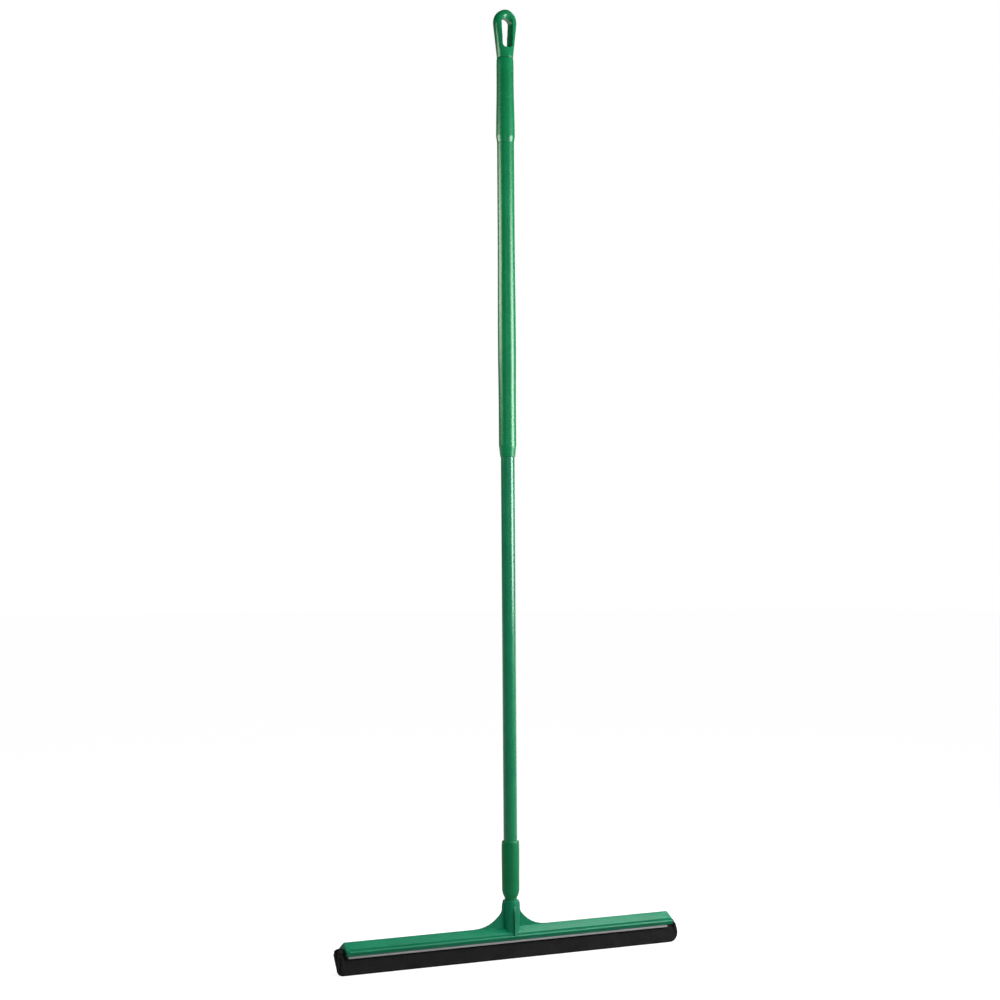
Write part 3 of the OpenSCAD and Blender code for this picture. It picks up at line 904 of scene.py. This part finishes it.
def grip_profile():
    """From the lower end over the chamfer and up the slow taper to the neck, and down the bore."""
    chamfer_h = 8 * mm
    chamfer_z = grip_low.z + chamfer_h
    taper_low = chamfer_z + 4 * mm
    taper_high = grip_high.z - 40 * mm
    steps = 24
    taper = []
    for k in range(steps + 1):
        t = k / steps
        along = t - 0.06 * math.sin(math.tau * t)
        radius = grip_low_r + (grip_top_r - grip_low_r) * along
        taper.append((radius, taper_low + (taper_high - taper_low) * t))
    return (
        [(sleeve_top_r - 0.2 * mm, grip_low.z), (sleeve_top_r + 0.15 * mm, grip_low.z + 0.2 * mm)]
        + [(grip_low_r - 0.45 * mm, chamfer_z - 1.2 * mm), (grip_low_r - 0.16 * mm, chamfer_z),
           (grip_low_r, chamfer_z + 1.4 * mm)]
        + taper
        + [(grip_top_r, grip_high.z - 12 * mm), (grip_top_r - 0.2 * mm, grip_high.z - 5 * mm),
           (neck_r + 0.1 * mm, grip_high.z - 0.7 * mm), (neck_r - 0.3 * mm, grip_high.z),
           (bore_over_pole, grip_high.z), (bore_over_pole, grip_low.z)]
    )


upper_grip = turn_profile("upper_grip", grip_profile())
smooth_by_angle(upper_grip)
upper_grip.data.materials.append(gloss_green)
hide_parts("hand_grip")
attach(upper_grip, "handle")

# ---- Hanging loop ----
# A green plastic end cap with an eye to hang the tool by. It is moulded in one piece with
# the ribbed plug that is driven into the pole's top end.

loop_low, loop_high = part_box("hang_loop")
loop_r = loop_high.x
loop_half_t = 8.2 * mm
loop_edge_r = 4.5 * mm
crown_h = 21.5 * mm
crown_z = loop_high.z - crown_h
neck_h = 1.5 * mm
eye_top_r = 9.6 * mm
eye_low_r = 8.5 * mm
eye_h = 46 * mm
eye_top_z = loop_high.z - 14.6 * mm - eye_top_r
eye_low_z = eye_top_z + eye_top_r - eye_h + eye_low_r


def loop_body():
    """A thick disc with rounded edges, drawn out upwards, and the neck ring, in one tight skin."""
    bpy.ops.object.select_all(action="DESELECT")
    bpy.ops.mesh.primitive_cylinder_add(
        vertices=96, radius=loop_r, depth=2 * loop_half_t, location=(0, 0, crown_z),
        rotation=(math.radians(90), 0, 0),
    )
    body = bpy.context.object
    body.name = body.data.name = "loop"
    bpy.ops.object.transform_apply()
    bpy.ops.object.mode_set(mode="EDIT")
    pick("EDGE", lambda middle: abs(abs(middle.y) - loop_half_t) < 0.01 * mm)
    bpy.ops.mesh.bevel(offset=loop_edge_r, segments=8, clamp_overlap=True)
    bpy.ops.mesh.select_all(action="SELECT")
    bpy.ops.transform.resize(value=(1, 1, crown_h / loop_r), center_override=(0, 0, crown_z))
    bpy.ops.mesh.primitive_cylinder_add(
        vertices=96, radius=neck_r, depth=neck_h, location=(0, 0, grip_high.z + neck_h / 2)
    )
    bpy.ops.mesh.select_all(action="SELECT")
    bpy.ops.mesh.convex_hull()
    close_up()
    return body


def eye_section():
    """Slot with round ends that narrows downwards."""
    lean = math.degrees(math.asin((eye_top_r - eye_low_r) / (eye_top_z - eye_low_z)))
    corner_r = 5 * mm
    top = arc((0, eye_top_z), eye_top_r, 90, -lean, 20)
    low = arc((eye_low_r - corner_r, eye_low_z - eye_low_r + corner_r), corner_r, -lean, -90, 8)
    return both_sides([(max(0, x), z) for x, z in top + low] + [(0, eye_low_z - eye_low_r)])


def eye_tool():
    """The slot's solid, which rises towards the front, where a hook first meets the eye."""
    start_y = 20 * mm
    straight = 24.6 * mm
    rise = 1.045
    tool = pull_section("eye", eye_section(), start_y, [-straight], "Y")
    foot = (0, 0, eye_low_z - eye_low_r)
    for reach in (1.4, 1.2, 1.2, 1.4):
        bpy.ops.mesh.extrude_region_move(TRANSFORM_OT_translate={"value": (0, -reach * mm, 0)})
        bpy.ops.transform.resize(value=(1, 1, rise), center_override=foot)
    past_front = 10 * mm
    bpy.ops.mesh.extrude_region_move(TRANSFORM_OT_translate={"value": (0, -past_front, 0)})
    close_up()
    return tool


def plug_profile():
    """The ribbed plug that is driven into the pole's top end, up to the loop's neck."""
    head_z = grip_high.z - 2 * mm
    top_z = grip_high.z + 2 * mm
    body_r = pole_r - pole_wall - 1.4 * mm
    rib_r = pole_r - pole_wall - 0.05 * mm
    step = 9.75 * mm
    ribs = []
    for k in range(4):
        z = loop_low.z + k * step
        ribs += [(body_r, z + 3 * mm), (rib_r, z + 4.4 * mm), (rib_r, z + 5.4 * mm), (body_r, z + 5.6 * mm)]
    return (
        [(0, loop_low.z), (body_r - 1.5 * mm, loop_low.z), (body_r, loop_low.z + 1.5 * mm)] + ribs
        + [(body_r, head_z), (rib_r, head_z), (rib_r, top_z), (0, top_z)]
    )


loop = loop_body()
join_solid(loop, eye_tool(), "DIFFERENCE")
finish_with(loop, "REMESH", mode="VOXEL", voxel_size=0.6 * mm)
finish_with(loop, "SMOOTH", factor=0.5, iterations=8)
bpy.ops.object.mode_set(mode="EDIT")
bpy.ops.mesh.select_all(action="SELECT")
bpy.ops.mesh.bisect(
    plane_co=(0, 0, grip_high.z + 0.4 * mm), plane_no=(0, 0, -1), use_fill=True, clear_outer=True
)
close_up()
join_solid(loop, turn_profile("plug", plug_profile(), 64))
smooth_by_angle(loop, 50)
loop.data.materials.append(gloss_green)
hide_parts("hang_loop")
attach(loop, "handle")

# ---- Studio ----
# White paper under and behind the tool in a dark room, with a wide soft lamp on the right, a
# smaller warm one on the left, a weak fill in front and one with a narrow beam high on the
# right. Two gleam lamps, one on each side, only show in the gloss.

camera_turn = math.radians(-27)
away = Vector((-math.sin(camera_turn), math.cos(camera_turn), 0))
right = Vector((math.cos(camera_turn), math.sin(camera_turn), 0))

bpy.ops.object.select_all(action="DESELECT")
bpy.ops.mesh.primitive_circle_add(
    vertices=96, radius=12, fill_type="NGON", location=(0, 0, -0.2 * mm)
)
floor = bpy.context.object
floor.name = "floor"


def backdrop_level(tree, vector, near, far, full, unseen):
    """Strength of white paper: full where it is seen, dim in reflections unless behind the tool."""
    path = add_node(tree, "LightPath")
    behind = add_node(tree, "VectorMath", {0: vector, 1: away}, operation="DOT_PRODUCT")
    mirrored = add_node(
        tree, "MapRange",
        {"Value": behind.outputs["Value"], "From Min": near, "From Max": far,
         "To Min": 0.01 * full, "To Max": full},
    )
    gloss = add_node(
        tree, "Mix",
        {"Factor": path.outputs["Is Glossy Ray"], "A": unseen, "B": mirrored.outputs["Result"]},
    )
    seen = add_node(
        tree, "Math", {0: path.outputs["Is Camera Ray"], 1: path.outputs["Is Transmission Ray"]},
        operation="MAXIMUM",
    )
    return add_node(
        tree, "Mix", {"Factor": seen.outputs[0], "A": gloss.outputs["Result"], "B": full}
    ).outputs["Result"]


def studio_floor():
    """White paper: it glows just enough to stay white, and still takes the tool's shadow."""
    material = bpy.data.materials.new("floor paper")
    material.use_nodes = True
    tree = material.node_tree
    tree.nodes.clear()
    place = add_node(tree, "TexCoord").outputs["Object"]
    level = backdrop_level(tree, place, near=-1.0, far=1.5, full=0.85, unseen=0.0)
    paper = add_node(tree, "BsdfDiffuse", {"Color": (0.3, 0.3, 0.3, 1)})
    glow = add_node(tree, "Emission", {"Strength": level})
    both = add_node(tree, "AddShader", {0: paper.outputs[0], 1: glow.outputs[0]})
    add_node(tree, "OutputMaterial", {"Surface": both.outputs[0]})
    return material


floor.data.materials.append(studio_floor())


def studio_world():
    """White paper behind the tool and a dark room around it; as light, it is stronger from the right."""
    world = bpy.data.worlds.new("studio")
    world.use_nodes = True
    tree = world.node_tree
    tree.nodes.clear()
    way = add_node(tree, "TexCoord").outputs["Generated"]
    sideways = add_node(tree, "VectorMath", {0: way, 1: right}, operation="DOT_PRODUCT")
    ambient = add_node(
        tree, "MapRange",
        {"Value": sideways.outputs["Value"], "From Min": -0.8, "From Max": 0.2,
         "To Min": 0.04, "To Max": 0.66},
    )
    level = backdrop_level(tree, way, near=0.8, far=0.98, full=1.0, unseen=ambient.outputs["Result"])
    sky = add_node(tree, "Background", {"Color": (1, 1, 1, 1), "Strength": level})
    add_node(tree, "OutputWorld", {"Surface": sky.outputs[0]})
    return world


bpy.context.scene.world = studio_world()


def soft_lamp(name, place, aim, width, height, power, colour=(1, 1, 1)):
    """A rectangular soft box that faces the point it is aimed at."""
    light = bpy.data.lights.new(name, "AREA")
    light.shape = "RECTANGLE"
    light.size, light.size_y = width, height
    light.energy = power
    light.color = colour
    lamp = bpy.data.objects.new(name, light)
    bpy.context.scene.collection.objects.link(lamp)
    lamp.location = place
    lamp.rotation_euler = (aim - place).to_track_quat("-Z", "Y").to_euler()
    return lamp


def side_lamp(name, degrees, distance, level, **light):
    """A soft box round the tool, at an angle to the right of the camera's side, facing the handle."""
    turn = math.radians(degrees)
    aim = Vector((0, 0, level))
    place = distance * (math.sin(turn) * right - math.cos(turn) * away) + aim
    return soft_lamp(name, place, aim, **light)


right_lamp = side_lamp("right lamp", 78, 1.5, 0.97, width=1.2, height=1.0, power=22)
front_fill = side_lamp("front fill", 0, 1.5, 1.05, width=0.8, height=0.8, power=2.2)
front_fill.data.spread = math.radians(90)
for fill in (right_lamp, front_fill):
    fill.visible_glossy = False
side_lamp("left lamp", -84, 1.5, 1.26, width=0.8, height=0.67, power=5, colour=(1, 0.97, 0.88))
for gleam in (
    side_lamp("right gleam", 76, 1.45, 0.92, width=0.85, height=0.85, power=46),
    side_lamp("left gleam", -90, 1.45, 1.27, width=1.2, height=0.45, power=19, colour=(0.92, 1, 0.82)),
):
    gleam.visible_diffuse = False
top_lamp = soft_lamp(
    "top lamp", Vector((1.5, -0.2, 2.3)), Vector((0, 0, 0)), width=1.0, height=1.0, power=6
)
top_lamp.data.spread = math.radians(60)

bpy.context.scene.view_settings.view_transform = "Standard"

camera_distance = 3.81
camera_aside = 0.0128
camera_z = 0.732
camera_roll = math.radians(0.4)
camera_data = bpy.data.cameras.new("camera")
camera_data.lens = 85.7
camera = bpy.data.objects.new("camera", camera_data)
bpy.context.scene.collection.objects.link(camera)
camera.location = -camera_distance * away - camera_aside * right + Vector((0, 0, camera_z))
camera.rotation_euler = (math.radians(90), camera_roll, camera_turn)
bpy.context.scene.camera = camera
